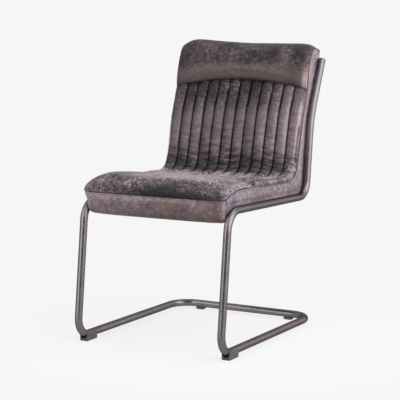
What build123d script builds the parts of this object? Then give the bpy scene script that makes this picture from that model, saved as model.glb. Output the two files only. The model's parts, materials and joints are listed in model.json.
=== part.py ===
from build123d import *
from math import cos, radians, sin
import os

# The chair stands on the floor at z = 0 and its sitter faces -Y. The origin is midway across it and
# midway along its depth. Side profiles are drawn as (y, z), with y counted from the frame's front
# floor corner; at, side_plane and run_plane turn them into places.

# Bent tube frame, measured along its centre-line; leans and falls in degrees
tube_d = 22.2
tube_wall = 2.0
track = 468.0
runner_len = 585.0
leg_setback = 45.7
rail_h = 409.0
rail_len = 490.0
rail_fall = 1.4
lower_back_len = 234.6
lower_back_lean = 6.8
upper_back_len = 190.0
upper_back_lean = 24.2
floor_bend_r = 50.0
knee_bend_r = 60.0
seat_bend_r = 48.0
back_bend_r = 350.0
corner_bend_r = 65.0
sleeve_len = 80.0
sleeve_wall = 2.0
cap_t = 2.0
cap_plug_len = 12.0

# Saddle feet in front and pads behind
foot_base_t = 6.9
foot_wall = 2.0
foot_wrap = 5.0
foot_start = 30.0
foot_len = 54.0
foot_round = 3.0
foot_chamfer = 1.0
pad_len = 26.0
pad_w = 18.0
pad_wrap = 5.0
pad_chamfer = 2.5
foot_screw_place = 42.0
foot_screw_d = 4.0
foot_screw_head_d = 7.0
foot_screw_head_t = 2.5
foot_screw_reach = 6.0

# Cushion cover, measured from the frame's centre-line
side_gap = 1.9
hide_t = 2.0
cloth_t = 1.0
seat_under = 13.0
back_under = 8.0
nose_front = 12.7
nose_tuck = 4.0
nose_drop = 29.0
nose_depth = 80.0
nose_round = 14.0
front_seam_rise = 30.0
pad_top = 196.0

# Front roll, ribbed panel and headrest
crown_power = 6
roll_len = 203.0
roll_crest_place = 72.0
roll_crest = 40.0
roll_crest_ends = 21.0
roll_draw = 4.0
seat_rise = 50.0
fold_rise = 64.0
back_rise = 37.0
fold_r = 60.0
kink_r = 600.0
rib_count = 12
rib_h = 12.0
rib_base = 5.0
arch_ends = 72.0
arch_mid = 99.0
headrest_front = 66.0
headrest_front_ends = 55.0
headrest_top = 222.0
headrest_top_ends = 217.0
headrest_shoulder_r = 24.0
headrest_brow = 130.0
headrest_brow_r = 60.0
headrest_foot = 60.0
headrest_lip = 6.0
top_rear_r = 12.0

# Boards, bars, straps and their fasteners
seat_board_t = 12.0
back_board_t = 10.0
bar_w = 25.0
bar_t = 5.0
front_bar_place = 130.0
rear_bar_inset = 130.0
lower_bar_place = 130.0
upper_bar_place = 130.0
bolt_spacing = 260.0
bolt_d = 6.0
bolt_head_d = 10.0
bolt_head_t = 4.0
strap_w = 30.0
strap_t = 4.0
strap_lap = 35.0
strap_spacing = 220.0
strap_screw_spacing = 16.0
strap_screw_d = 4.0
strap_screw_head_d = 8.0
strap_screw_head_t = 2.2
strap_screw_len = 12.0

# Clearances
weld_gap = 0.1
grip_gap = 0.2
hole_gap = 0.05
bolt_gap = 0.3
soft_gap = 0.3

UP = (Align.CENTER, Align.CENTER, Align.MIN)
DOWN = (Align.CENTER, Align.CENTER, Align.MAX)


def heading(lean):
    """Direction in the side view that leans back from the vertical by an angle in degrees."""
    return Vector(sin(radians(lean)), cos(radians(lean)))


def inward(direction):
    """Direction square to a run of the frame, towards the sitter."""
    return Vector(-direction.Y, direction.X)


def cross(first, second):
    """Signed area of two side-view directions, positive where the second turns to the left."""
    return first.X * second.Y - first.Y * second.X


def meet(point, direction, other_point, other_direction):
    """Where two lines of the side view cross."""
    reach = cross(other_point - point, other_direction) / cross(direction, other_direction)
    return point + direction * reach


def beside(points, distances):
    """Polyline that runs to the left of another one, each run at its own distance."""
    directions = [(end - start).normalized() for start, end in zip(points, points[1:])]
    starts = [p + inward(d) * far for p, d, far in zip(points, directions, distances)]
    runs = list(zip(starts, directions))
    corners = [meet(*run, *after) for run, after in zip(runs, runs[1:])]
    return [starts[0], *corners, points[-1] + inward(directions[-1]) * distances[-1]]


def beside_radii(points, radii, distance):
    """Corner radii of the polyline beside another one, so that its arcs stay concentric."""
    corners = zip(points, points[1:], points[2:])
    turns = [cross(here - before, after - here) for before, here, after in corners]
    return [r - distance if turn > 0 else r + distance for r, turn in zip(radii, turns)]


# Corner points of the frame's centre-line
runner_h = foot_base_t + tube_d / 2
rail_dir = heading(90 + rail_fall)
lower_dir = heading(lower_back_lean)
upper_dir = heading(upper_back_lean)
floor_corner = Vector(0, runner_h)
knee = Vector(leg_setback, rail_h)
seat_corner = knee + rail_dir * rail_len
back_kink = seat_corner + lower_dir * lower_back_len
cap_seat = back_kink + upper_dir * (upper_back_len - cap_t)
rail_corner = Vector(runner_len, runner_h)

# The depth runs from the floor bend of the legs to the rounded top of the cushion's rear
leg_dir = (knee - floor_corner).normalized()
front_reach = floor_bend_r * ((1 + leg_dir.X) / leg_dir.Y - 1) - tube_d / 2


def on_upper(place, rise):
    """Side-view point along the upper back, raised towards the sitter."""
    return back_kink + upper_dir * place + inward(upper_dir) * rise


rear_reach = on_upper(headrest_top - top_rear_r, top_rear_r - back_under).X + top_rear_r
mid_depth = (front_reach + rear_reach) / 2


def at(x, point):
    """Place of a side-view point at a distance across the chair."""
    return (x, point.X - mid_depth, point.Y)


def side_plane(x):
    """Plane of the side view, at a distance across the chair, facing +X."""
    return Plane(origin=(x, -mid_depth, 0), x_dir=(0, 1, 0), z_dir=(1, 0, 0))


def run_plane(start, direction, place, rise):
    """Plane that lies along a run of the frame: local Y along it, local Z towards the sitter."""
    normal = inward(direction)
    middle = start + direction * place + normal * rise
    return Plane(origin=at(0, middle), x_dir=(1, 0, 0), z_dir=(0, normal.X, normal.Y))


# Cushion sizes that follow from the frame
half_width = track / 2 - tube_d / 2 - side_gap
half_core = half_width - hide_t
corner_reach = seat_bend_r + back_under
seat_board_start = nose_depth - nose_front + soft_gap
seat_board_end = rail_len - corner_reach
seat_board_face = cloth_t + seat_board_t - seat_under
back_board_face = hide_t + back_board_t - back_under

# Skin line below and behind the cushion, with its radii at the seat corner and the kink
skin_spine = [knee + rail_dir * (seat_board_end + soft_gap), seat_corner, back_kink]
skin_spine.append(back_kink + upper_dir * pad_top)
skin_line = beside(skin_spine, [-seat_under, -back_under, -back_under])
skin_radii = beside_radii(skin_spine, [seat_bend_r, back_bend_r], -back_under)
inner_skin = beside(skin_line, [hide_t + soft_gap] * 3)
inner_radii = beside_radii(skin_line, skin_radii, hide_t + soft_gap)

# Boxing line, from the front seam down the nose and back to the boards
front_seam = knee - rail_dir * nose_front + inward(rail_dir) * front_seam_rise
nose_foot = knee - rail_dir * (nose_front - nose_tuck) - inward(rail_dir) * nose_drop
nose_heel = knee + rail_dir * (nose_depth - nose_front) - inward(rail_dir) * seat_under
boxing_line = [front_seam, nose_foot, nose_heel]
inner_boxing = beside(boxing_line, [hide_t + soft_gap] * 2)

# Seam line of the ribbed panel, on along the back behind the headrest, and the padding's underside
fold_foot = seat_corner + inward(lower_dir) * fold_rise
rib_kink = on_upper(0, back_rise)
seat_seam = knee + inward(rail_dir) * seat_rise
rib_fold = meet(seat_seam, rail_dir, fold_foot, (rib_kink - fold_foot).normalized())
rib_start = seat_seam + rail_dir * (roll_len - nose_front)
rib_line = [rib_start, rib_fold, rib_kink, on_upper(pad_top, back_rise)]
rib_radii = [fold_r, kink_r]
base_line = beside(rib_line, [-rib_base] * 3)
core_line = beside(rib_line, [-rib_base - soft_gap] * 3)
core_radii = beside_radii(rib_line, rib_radii, -rib_base - soft_gap)


def tube_path(x):
    """Centre-line of one half of the frame, from its capped top to the middle of the rear rail."""
    corners = [at(x, p) for p in (cap_seat, back_kink, seat_corner, knee, floor_corner, rail_corner)]
    radii = [back_bend_r, seat_bend_r, knee_bend_r, floor_bend_r, corner_bend_r]
    with BuildLine() as path:
        FilletPolyline(*corners, at(0, rail_corner), radius=radii)
    return path.line


def swept_round(path, diameter, bore=0):
    """Round bar or tube along a path."""
    with BuildPart() as bar:
        with BuildSketch(Plane(origin=path @ 0, z_dir=path % 0)):
            Circle(diameter / 2)
            if bore:
                Circle(bore / 2, mode=Mode.SUBTRACT)
        sweep(path=path)
    return bar.part


def side_solid(outline, radii, half):
    """Closed side-view outline with rounded corners, drawn out to both sides of the chair."""
    with BuildPart() as body:
        with BuildSketch(side_plane(0)):
            with BuildLine():
                FilletPolyline(*outline, radius=radii, close=True)
            make_face()
        extrude(amount=half, both=True)
    return body.part


def band_solid(points, radii, thickness, half):
    """Sheet of even thickness that follows a polyline in the side view."""
    inner = beside(points, [thickness] * (len(points) - 1))
    turned = beside_radii(points, radii, thickness)
    return side_solid([*points, *reversed(inner)], [0, *radii, 0, 0, *reversed(turned), 0], half)


def arch_cutter(shift, above):
    """Block that ends at the headrest's arched seam, above it or below it."""
    far = arch_mid + headrest_top if above else -arch_mid
    wide = half_width + hide_t
    with BuildPart() as cutter:
        with BuildSketch(run_plane(back_kink, upper_dir, shift, 0)):
            with BuildLine():
                ThreePointArc((-half_width, arch_ends), (0, arch_mid), (half_width, arch_ends))
                Polyline((half_width, arch_ends), (wide, arch_ends), (wide, far))
                Polyline((wide, far), (-wide, far), (-wide, arch_ends), (-half_width, arch_ends))
            make_face()
        extrude(amount=headrest_top, both=True)
    return cutter.part


def save(piece, name):
    """Label a finished piece and write it."""
    piece.label = name
    export_step(piece, f"parts/{name}.step")


os.makedirs("parts", exist_ok=True)
signs = {"left": -1, "right": 1}
paths = {side: tube_path(sign * track / 2) for side, sign in signs.items()}
envelopes = [swept_round(path, tube_d + 2 * weld_gap) for path in paths.values()]
rail_y = rail_corner.X - mid_depth
foot_screw_y = foot_start + foot_screw_place - mid_depth
front_screws = [(sign * track / 2, foot_screw_y) for sign in signs.values()]
pad_place = track / 2 - corner_bend_r - pad_len / 2
rear_screws = [(sign * pad_place, rail_y) for sign in signs.values()]
screw_places = front_screws + rear_screws

# Frame halves, with holes for the feet's screws
for side, path in paths.items():
    with BuildPart() as frame_tube:
        add(swept_round(path, tube_d, tube_d - 2 * tube_wall))
        with Locations(*screw_places):
            Cylinder(foot_screw_d / 2 + hole_gap, runner_h, align=UP, mode=Mode.SUBTRACT)
    save(frame_tube.part, f"{side}_frame_tube")

# Sleeve inside the rear rail, across the joint of the two halves
with BuildPart() as joint_sleeve:
    with BuildSketch(Plane(origin=(-sleeve_len / 2, rail_y, runner_h), z_dir=(1, 0, 0))):
        Circle(tube_d / 2 - tube_wall - hole_gap)
        Circle(tube_d / 2 - tube_wall - sleeve_wall, mode=Mode.SUBTRACT)
    extrude(amount=sleeve_len)
save(joint_sleeve.part, "joint_sleeve")

# Flat caps with plugs in the upper tube ends
with BuildPart() as tube_end_caps:
    for sign in signs.values():
        cap_origin = at(sign * track / 2, cap_seat)
        cap_plane = Plane(origin=cap_origin, x_dir=(1, 0, 0), z_dir=(0, upper_dir.X, upper_dir.Y))
        with Locations(cap_plane):
            Cylinder(tube_d / 2, cap_t, align=UP)
            Cylinder(tube_d / 2 - tube_wall - hole_gap, cap_plug_len, align=DOWN)
save(tube_end_caps.part, "tube_end_caps")

# Saddle feet under the front of the runners
for side, sign in signs.items():
    foot_middle = (sign * track / 2, foot_start + foot_len / 2 - mid_depth)
    with BuildPart() as front_foot:
        with BuildSketch():
            with Locations(foot_middle):
                RectangleRounded(tube_d + 2 * foot_wall, foot_len, foot_round)
        extrude(amount=runner_h + foot_wrap)
        chamfer(front_foot.faces().sort_by(Axis.Z)[0].edges(), foot_chamfer)
        with BuildSketch(Plane(origin=(*foot_middle, runner_h), z_dir=(0, 1, 0))):
            Circle(tube_d / 2 + grip_gap)
        extrude(amount=foot_len, both=True, mode=Mode.SUBTRACT)
        add(envelopes, mode=Mode.SUBTRACT)
        with Locations(*front_screws):
            Cylinder(foot_screw_d / 2 + bolt_gap, runner_h, mode=Mode.SUBTRACT)
            Cylinder(foot_screw_head_d / 2 + bolt_gap, foot_screw_head_t, align=UP, mode=Mode.SUBTRACT)
    save(front_foot.part, f"front_foot_{side}")

# Pads under the rear rail
for side, sign in signs.items():
    with BuildPart() as rear_foot:
        with Locations((sign * pad_place, rail_y)):
            Box(pad_len, pad_w, foot_base_t + pad_wrap, align=UP)
        chamfer(rear_foot.faces().sort_by(Axis.Z)[0].edges(), pad_chamfer)
        with BuildSketch(Plane(origin=(0, rail_y, runner_h), z_dir=(1, 0, 0))):
            Circle(tube_d / 2 + grip_gap)
        extrude(amount=track, both=True, mode=Mode.SUBTRACT)
        with Locations(*rear_screws):
            Cylinder(foot_screw_d / 2 + bolt_gap, runner_h, mode=Mode.SUBTRACT)
            Cylinder(foot_screw_head_d / 2 + bolt_gap, foot_screw_head_t, align=UP, mode=Mode.SUBTRACT)
    save(rear_foot.part, f"rear_foot_{side}")

# Screws of the feet, from below into the tube, their heads sunk above the floor
with BuildPart() as foot_screws:
    with Locations(*[(x, y, foot_screw_head_t) for x, y in screw_places]):
        Cylinder(foot_screw_d / 2, foot_base_t + foot_screw_reach - foot_screw_head_t, align=UP)
        Cylinder(foot_screw_head_d / 2, foot_screw_head_t - soft_gap, align=DOWN)
save(foot_screws.part, "foot_screws")

# Cross bars, welded between the rails and between the uprights, tapped for the boards' bolts
bar_planes = {
    "front_seat_bar": run_plane(knee, rail_dir, front_bar_place, seat_board_face),
    "rear_seat_bar": run_plane(knee, rail_dir, rail_len - rear_bar_inset, seat_board_face),
    "lower_back_bar": run_plane(seat_corner, lower_dir, lower_bar_place, back_board_face),
    "upper_back_bar": run_plane(back_kink, upper_dir, upper_bar_place, back_board_face),
}
bolt_grid = GridLocations(bolt_spacing, 0, 2, 1).local_locations
bolt_frames = {name: [plane.location * spot for spot in bolt_grid] for name, plane in bar_planes.items()}
for name, plane in bar_planes.items():
    with BuildPart() as cross_bar:
        with Locations(plane):
            Box(track, bar_w, bar_t, align=UP)
        with Locations(*bolt_frames[name]):
            Cylinder(bolt_d / 2 + hole_gap, bar_t, align=UP, mode=Mode.SUBTRACT)
        add(envelopes, mode=Mode.SUBTRACT)
    save(cross_bar.part.solids().sort_by(SortBy.VOLUME)[-1], name)
seat_bolt_frames = bolt_frames["front_seat_bar"] + bolt_frames["rear_seat_bar"]
back_bolt_frames = bolt_frames["lower_back_bar"] + bolt_frames["upper_back_bar"]

# Steel straps that tie the two boards at the corner
strap_start = knee + rail_dir * (seat_board_end - strap_lap)
strap_end = seat_corner + lower_dir * (corner_reach + strap_lap)
strap_line = beside([strap_start, seat_corner, strap_end], [seat_board_face, back_board_face])
strap_radii = [seat_bend_r - back_board_face]
strap_places = [(sign * strap_spacing / 2, 0, 0) for sign in signs.values()]
strap_screw_planes = [
    run_plane(knee, rail_dir, seat_board_end - strap_lap / 2, seat_board_face + strap_t),
    run_plane(seat_corner, lower_dir, corner_reach + strap_lap / 2, back_board_face + strap_t),
]
screw_grid = [
    Location((x + sign * strap_screw_spacing / 2, 0, 0)) for x, _, _ in strap_places for sign in signs.values()
]
strap_screw_frames = [plane.location * spot for plane in strap_screw_planes for spot in screw_grid]
with BuildPart() as corner_straps:
    with Locations(*strap_places):
        add(band_solid(strap_line, strap_radii, strap_t, strap_w / 2))
    with Locations(*strap_screw_frames):
        Cylinder(strap_screw_d / 2 + bolt_gap, strap_t, align=DOWN, mode=Mode.SUBTRACT)
save(corner_straps.part, "corner_straps")

with BuildPart() as strap_screws:
    with Locations(*strap_screw_frames):
        Cylinder(strap_screw_head_d / 2, strap_screw_head_t, align=UP)
        Cylinder(strap_screw_d / 2, strap_screw_len, align=DOWN)
save(strap_screws.part, "strap_screws")


def bolts(frames, board_t):
    """Bolts whose heads lie sunk in a board and whose shanks end in the bars."""
    with BuildPart() as group:
        for frame in frames:
            with Locations(frame * Location((0, 0, bolt_head_t - board_t))):
                Cylinder(bolt_d / 2, board_t - bolt_head_t + bar_t, align=UP)
                Cylinder(bolt_head_d / 2, bolt_head_t - soft_gap, align=DOWN)
    return group.part


def drill(frames, board_t):
    """Cut the clearance holes and head recesses of bolts, and the straps' screw holes."""
    with Locations(*frames):
        Cylinder(bolt_d / 2 + bolt_gap, board_t, align=DOWN, mode=Mode.SUBTRACT)
    with Locations(*[frame * Location((0, 0, -board_t)) for frame in frames]):
        Cylinder(bolt_head_d / 2 + bolt_gap, bolt_head_t, align=UP, mode=Mode.SUBTRACT)
    with Locations(*strap_screw_frames):
        Cylinder(strap_screw_d / 2 + hole_gap, strap_screw_len + soft_gap, align=DOWN, mode=Mode.SUBTRACT)


save(bolts(seat_bolt_frames, seat_board_t), "seat_bolts")
save(bolts(back_bolt_frames, back_board_t), "back_bolts")

# Seat board and back board
seat_board_len = seat_board_end - seat_board_start
seat_middle = (seat_board_start + seat_board_end) / 2
with BuildPart() as seat_board:
    with Locations(run_plane(knee, rail_dir, seat_middle, seat_board_face)):
        Box(2 * half_core, seat_board_len, seat_board_t, align=DOWN)
    drill(seat_bolt_frames, seat_board_t)
save(seat_board.part, "seat_board")

back_spine = [seat_corner + lower_dir * corner_reach, back_kink, back_kink + upper_dir * pad_top]
back_line = beside(back_spine, [hide_t - back_under] * 2)
back_radii = beside_radii(back_spine, [back_bend_r], hide_t - back_under)
with BuildPart() as back_board:
    add(band_solid(back_line, back_radii, back_board_t, half_core))
    drill(back_bolt_frames, back_board_t)
save(back_board.part, "back_board")

# Skins that close the cushion in front, below and behind
boxing_drop = [front_seam - Vector(0, soft_gap), nose_foot, nose_heel]
save(band_solid(boxing_drop, [nose_round], hide_t, half_core), "front_boxing")
save(band_solid(skin_line, skin_radii, hide_t, half_core), "outside_back")
with BuildPart() as dust_cover:
    with Locations(run_plane(knee, rail_dir, seat_middle, -seat_under)):
        Box(2 * half_core, seat_board_len, cloth_t, align=UP)
save(dust_cover.part, "dust_cover")

# Side panels, slotted for the cross bars
front_core = front_seam - Vector(0, soft_gap)
panel_outline = [nose_heel, nose_foot, front_core, *core_line, *reversed(skin_line[1:])]
panel_radii = [0, nose_round, 0, 0, *core_radii, 0, 0, *reversed(skin_radii)]
for side, sign in signs.items():
    with BuildPart() as side_panel:
        add(side_solid(panel_outline, panel_radii, half_width))
        split(bisect_by=side_plane(sign * half_core), keep=Keep.TOP if sign > 0 else Keep.BOTTOM)
        for plane in bar_planes.values():
            with Locations(plane.offset(-soft_gap)):
                Box(track, bar_w + 2 * soft_gap, bar_t + 2 * soft_gap, align=UP, mode=Mode.SUBTRACT)
    save(side_panel.part, f"{side}_side_panel")

# Foam, split along the fold, with pockets for the boards and what is fixed to them
foam_outline = [inner_boxing[2], inner_boxing[1], inner_boxing[0] - Vector(0, soft_gap)]
foam_outline += [*core_line, *reversed(inner_skin[1:])]
foam_radii = [0, nose_round - hide_t - soft_gap, 0, 0, *core_radii, 0, 0, *reversed(inner_radii)]
crease = (skin_line[1] - rib_fold).normalized()
crease_plane = run_plane(rib_fold, crease, 0, 0)
pocket_line = beside(strap_line, [-soft_gap] * 2)
pocket_radii = beside_radii(strap_line, strap_radii, -soft_gap)
pocket_t = strap_t + strap_screw_head_t + 2 * soft_gap
board_spine = beside(back_spine, [-back_under] * 2)
board_radii = beside_radii(back_spine, [back_bend_r], -back_under)
for name, keep in {"seat_foam": Keep.BOTTOM, "back_foam": Keep.TOP}.items():
    with BuildPart() as foam:
        add(side_solid(foam_outline, foam_radii, half_core))
        split(bisect_by=crease_plane, keep=keep)
        with Locations(run_plane(knee, rail_dir, seat_middle, seat_board_face)):
            Box(track, seat_board_len, seat_board_t, align=DOWN, mode=Mode.SUBTRACT)
        add(band_solid(board_spine, board_radii, hide_t + back_board_t, half_width), mode=Mode.SUBTRACT)
        for plane in bar_planes.values():
            with Locations(plane):
                Box(track, bar_w + 2 * soft_gap, bar_t + soft_gap, align=UP, mode=Mode.SUBTRACT)
        with Locations(*strap_places):
            add(band_solid(pocket_line, pocket_radii, pocket_t, strap_w / 2 + soft_gap), mode=Mode.SUBTRACT)
    save(foam.part, name)

# Crowned pads are lofted across the chair, full in the middle and drawn in towards the sides
stations = (-1, -0.9, -0.65, 0, 0.65, 0.9, 1)


def crowned(share, ends, middle):
    """Size of a pad at a share of the half width."""
    return middle + (ends - middle) * abs(share) ** crown_power


# Smooth roll across the front of the seat
roll_rear = rib_start - rail_dir * soft_gap
roll_base = base_line[0] - rail_dir * soft_gap
with BuildPart() as front_roll:
    for share in stations:
        roll_front = front_seam + rail_dir * crowned(share, roll_draw, 0)
        crest_rise = inward(rail_dir) * crowned(share, roll_crest_ends, roll_crest)
        crest = front_seam + rail_dir * roll_crest_place + crest_rise
        with BuildSketch(side_plane(share * half_width)):
            with BuildLine():
                TangentArc(crest, roll_front, tangent=-rail_dir)
                Polyline(roll_front, roll_base, roll_rear)
                TangentArc(crest, roll_rear, tangent=rail_dir)
            make_face()
    loft()
save(front_roll.part, "front_roll")

# Channels sewn side by side, from the roll through the fold and up to the arched seam
pitch = 2 * half_width / rib_count
rib_plane = Plane(origin=at(0, rib_start), x_dir=(1, 0, 0), z_dir=(0, -rail_dir.X, -rail_dir.Y))
rib_end = on_upper(arch_mid + rib_h, back_rise)
with BuildLine() as rib_path:
    FilletPolyline(*[at(0, p) for p in (rib_start, rib_fold, rib_kink, rib_end)], radius=rib_radii)
with BuildPart() as ribbed_panel:
    with BuildSketch(rib_plane):
        with BuildLine():
            for number in range(rib_count):
                seam = number * pitch - half_width
                ThreePointArc((seam, 0), (seam + pitch / 2, rib_h), (seam + pitch, 0))
            Polyline((half_width, 0), (half_width, -rib_base), (-half_width, -rib_base), (-half_width, 0))
        make_face()
    sweep(path=rib_path.line)
    add(arch_cutter(-soft_gap, True), mode=Mode.SUBTRACT)
save(ribbed_panel.part, "ribbed_panel")

# Headrest, which swells over the top of the channels and caps the cushion
cap_place = pad_top + soft_gap
with BuildPart() as headrest:
    for share in stations:
        front = crowned(share, headrest_front_ends, headrest_front)
        top = crowned(share, headrest_top_ends, headrest_top)
        outline = [
            on_upper(headrest_foot, back_rise - rib_base),
            on_upper(cap_place, back_rise - rib_base),
            on_upper(cap_place, -back_under),
            on_upper(top, -back_under),
            on_upper(top, front),
            on_upper(headrest_brow, front),
            on_upper(headrest_foot, back_rise + headrest_lip),
        ]
        radii = [0, 0, 0, top_rear_r, headrest_shoulder_r, headrest_brow_r, 0]
        with BuildSketch(side_plane(share * half_width)):
            with BuildLine():
                FilletPolyline(*outline, radius=radii, close=True)
            make_face()
    loft()
    add(arch_cutter(0, False), mode=Mode.SUBTRACT)
save(headrest.part, "headrest")
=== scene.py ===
import json
import math

import bmesh
import bpy
import numpy as np
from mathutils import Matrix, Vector


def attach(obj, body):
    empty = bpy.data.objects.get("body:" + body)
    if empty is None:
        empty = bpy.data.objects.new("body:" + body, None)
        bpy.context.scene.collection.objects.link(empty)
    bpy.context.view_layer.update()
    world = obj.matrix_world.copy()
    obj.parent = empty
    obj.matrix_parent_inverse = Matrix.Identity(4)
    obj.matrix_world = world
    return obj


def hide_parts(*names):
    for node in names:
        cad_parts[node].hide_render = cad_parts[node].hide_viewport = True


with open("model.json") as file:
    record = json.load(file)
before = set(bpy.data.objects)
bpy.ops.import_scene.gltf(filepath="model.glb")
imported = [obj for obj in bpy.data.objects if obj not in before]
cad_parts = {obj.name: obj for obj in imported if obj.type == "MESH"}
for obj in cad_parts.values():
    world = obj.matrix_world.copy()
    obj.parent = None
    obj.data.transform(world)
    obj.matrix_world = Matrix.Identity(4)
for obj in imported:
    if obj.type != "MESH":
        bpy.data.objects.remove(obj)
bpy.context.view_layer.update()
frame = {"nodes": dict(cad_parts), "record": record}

# Lengths are in mm, and side-view points are (y, z) with y counted from the frame's front floor corner
FRONT = -326.43
MM = 0.001
HALF_PI = math.pi / 2


def heading(lean):
    """Side-view direction that leans back from upright by an angle in degrees."""
    return np.array([math.sin(math.radians(lean)), math.cos(math.radians(lean))])


def inward(direction):
    """Side-view direction across another one, on the sitter's side."""
    return np.array([-direction[1], direction[0]])


# Straight runs of the tubes, with the lengths and leans of the part's source
RAIL_LENGTH = 490.0
LOWER_LENGTH = 234.6
RAIL = heading(91.4)
LOWER = heading(6.8)
UPPER = heading(24.2)
KNEE = np.array([45.7, 409.0])
SEAT_CORNER = KNEE + RAIL * RAIL_LENGTH
KINK = SEAT_CORNER + LOWER * LOWER_LENGTH

# Half widths of the cushion and of its panels
HALF = 222.0
ROLL_HALF = 225.0
HEAD_HALF = 224.5
BOX_HALF = 221.3
SIDE_PLANE = 221.4
SIDE = 221
COVER_HALF = 216

# Depths of the padded tops, of the leather panels, of the outside back and of the dust cover
PAD_DEPTH = 9
PANEL_DEPTH = 3
BACK_DEPTH = 2.5
COVER_DEPTH = 1

# Channels, and the rise of the headrest's arched lower seam
RIBS = 12
PITCH = 2 * HALF / RIBS
RIB_HEIGHT = 12.0
ARCH = 27


def on_upper(s, u):
    """Side-view point along the upper back, u towards the sitter."""
    return KINK + UPPER * s + inward(UPPER) * u


def on_rail(s, u):
    """Side-view point along the seat rail, u upwards."""
    return KNEE + RAIL * s + inward(RAIL) * u


def smooth(low, high, value):
    """Goes from 0 to 1 as value goes from low to high."""
    t = np.clip((np.asarray(value, float) - low) / (high - low), 0, 1)
    return t * t * (3 - 2 * t)


def bump_at(value, middle, spread):
    """Is 1 at the middle and fades out on both sides."""
    return np.exp(-(((value - middle) / spread) ** 2))


def waves(points, size, seed):
    """Smooth noise between about -1 and 1, from a few fixed waves of about the given size."""
    rng = np.random.default_rng(seed)
    summed = np.zeros(points.shape[:-1])
    for _ in range(9):
        way = rng.normal(size=3)
        way *= rng.uniform(0.7, 1.5) * 2 * math.pi / size / np.linalg.norm(way)
        summed += np.sin(points @ way + rng.uniform(0, 2 * math.pi))
    return summed / 4.5


def blurred(values, count):
    """Running mean over an odd count of values."""
    return np.convolve(np.pad(values, count // 2, mode="edge"), np.full(count, 1 / count), "valid")


def lengths(points):
    """Distance of each point from the start of a polyline, along it."""
    return np.concatenate([[0], np.cumsum(np.linalg.norm(np.diff(points, axis=0), axis=1))])


def along(points, keys, values):
    """Points at the given values of a key that rises along a polyline."""
    return np.stack([np.interp(values, keys, points[:, k]) for k in range(points.shape[1])], -1)


def evenly(points, count):
    """Points spaced evenly along a polyline."""
    far = lengths(points)
    return along(points, far, np.linspace(0, far[-1], count))


def curve(points, count):
    """Evenly spaced points on a natural cubic spline."""
    p = np.array(points, float)
    t = lengths(p)
    h = np.diff(t)
    n = len(p)
    system, right = np.eye(n), np.zeros_like(p)
    for i in range(1, n - 1):
        system[i, i - 1:i + 2] = h[i - 1], 2 * (h[i - 1] + h[i]), h[i]
        right[i] = 6 * ((p[i + 1] - p[i]) / h[i] - (p[i] - p[i - 1]) / h[i - 1])
    bend = np.linalg.solve(system, right)
    at = np.linspace(0, t[-1], 40 * n)
    i = np.clip(np.searchsorted(t, at, side="right") - 1, 0, n - 2)
    a, b, w = (t[i + 1] - at)[:, None], (at - t[i])[:, None], h[i][:, None]
    made = bend[i] * a**3 / (6 * w) + bend[i + 1] * b**3 / (6 * w)
    made += (p[i] / w - bend[i] * w / 6) * a + (p[i + 1] / w - bend[i + 1] * w / 6) * b
    return evenly(made, count)


def matched(points, knots, shares):
    """Points of a polyline, read so that the knots fall at even steps of the shares."""
    far = lengths(points)
    places = [far[np.argmin(np.linalg.norm(points - np.array(k), axis=1))] for k in knots]
    return along(points, far, np.interp(shares, np.linspace(0, 1, len(places)), places))


def across_line(line):
    """Unit directions across a side-view line, to its left."""
    step = np.gradient(line, axis=0)
    step /= np.linalg.norm(step, axis=1, keepdims=True)
    return np.stack([-step[:, 1], step[:, 0]], 1)


def normals(grid):
    """Unit normals of a grid of points."""
    n = np.cross(np.gradient(grid, axis=0), np.gradient(grid, axis=1))
    return n / np.maximum(np.linalg.norm(n, axis=2, keepdims=True), 1e-9)


def grid_of(x, yz):
    """Grid of points from their x and their side-view points."""
    return np.concatenate([np.broadcast_to(x, yz.shape[:2])[..., None], yz], -1)


def place(points):
    """Row-frame metres of points (x, y, z)."""
    return (np.asarray(points) + np.array([0, FRONT, 0])) * MM


def grid_faces(rows, cols, start=0, turn=False):
    """Quads of a grid of points, numbered from start."""
    at = np.arange(rows * cols).reshape(rows, cols) + start
    quads = np.stack([at[:-1, :-1], at[:-1, 1:], at[1:, 1:], at[1:, :-1]], -1).reshape(-1, 4)
    return quads[:, ::-1] if turn else quads


def add_mesh(name, points, faces):
    """New smooth-shaded piece."""
    mesh = bpy.data.meshes.new(name)
    mesh.from_pydata(place(points).tolist(), [], faces)
    mesh.polygons.foreach_set("use_smooth", [True] * len(mesh.polygons))
    piece = bpy.data.objects.new(name, mesh)
    bpy.context.scene.collection.objects.link(piece)
    return piece


def closed_pad(name, top, under):
    """Closed mesh between a top grid and an under grid of the same shape. The top's points come first."""
    rows, cols = top.shape[:2]
    count = rows * cols
    at = np.arange(count).reshape(rows, cols)
    rim = np.concatenate([at[0, :-1], at[:-1, -1], at[-1, :0:-1], at[:0:-1, 0]])
    after = np.roll(rim, -1)
    walls = np.stack([after, rim, rim + count, after + count], -1)
    faces = np.concatenate([grid_faces(rows, cols), grid_faces(rows, cols, count, True), walls])
    piece = add_mesh(name, np.concatenate([top.reshape(-1, 3), under.reshape(-1, 3)]), faces.tolist())
    shell = bmesh.new()
    shell.from_mesh(piece.data)
    bmesh.ops.recalc_face_normals(shell, faces=shell.faces)
    shell.to_mesh(piece.data)
    shell.free()
    return piece


def thicken(top, depth):
    """Under side of a panel, thin at its rim. The depth is negative where the grid's normals point inward."""
    rows, cols = (np.arange(count) for count in top.shape[:2])
    inset = np.minimum(np.minimum(rows, rows[::-1])[:, None], np.minimum(cols, cols[::-1])[None, :])
    return top - normals(top) * (depth * (0.12 + 0.88 * smooth(0, 6, inset)))[..., None]


def per_point(mesh, key):
    """Coordinates or normals of a mesh's points."""
    flat = np.zeros(len(mesh.vertices) * 3)
    mesh.vertices.foreach_get(key, flat)
    return flat.reshape(-1, 3)


SWELL_FRAMES = 20
SINK_LIMIT = 0.4 * MM


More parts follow.
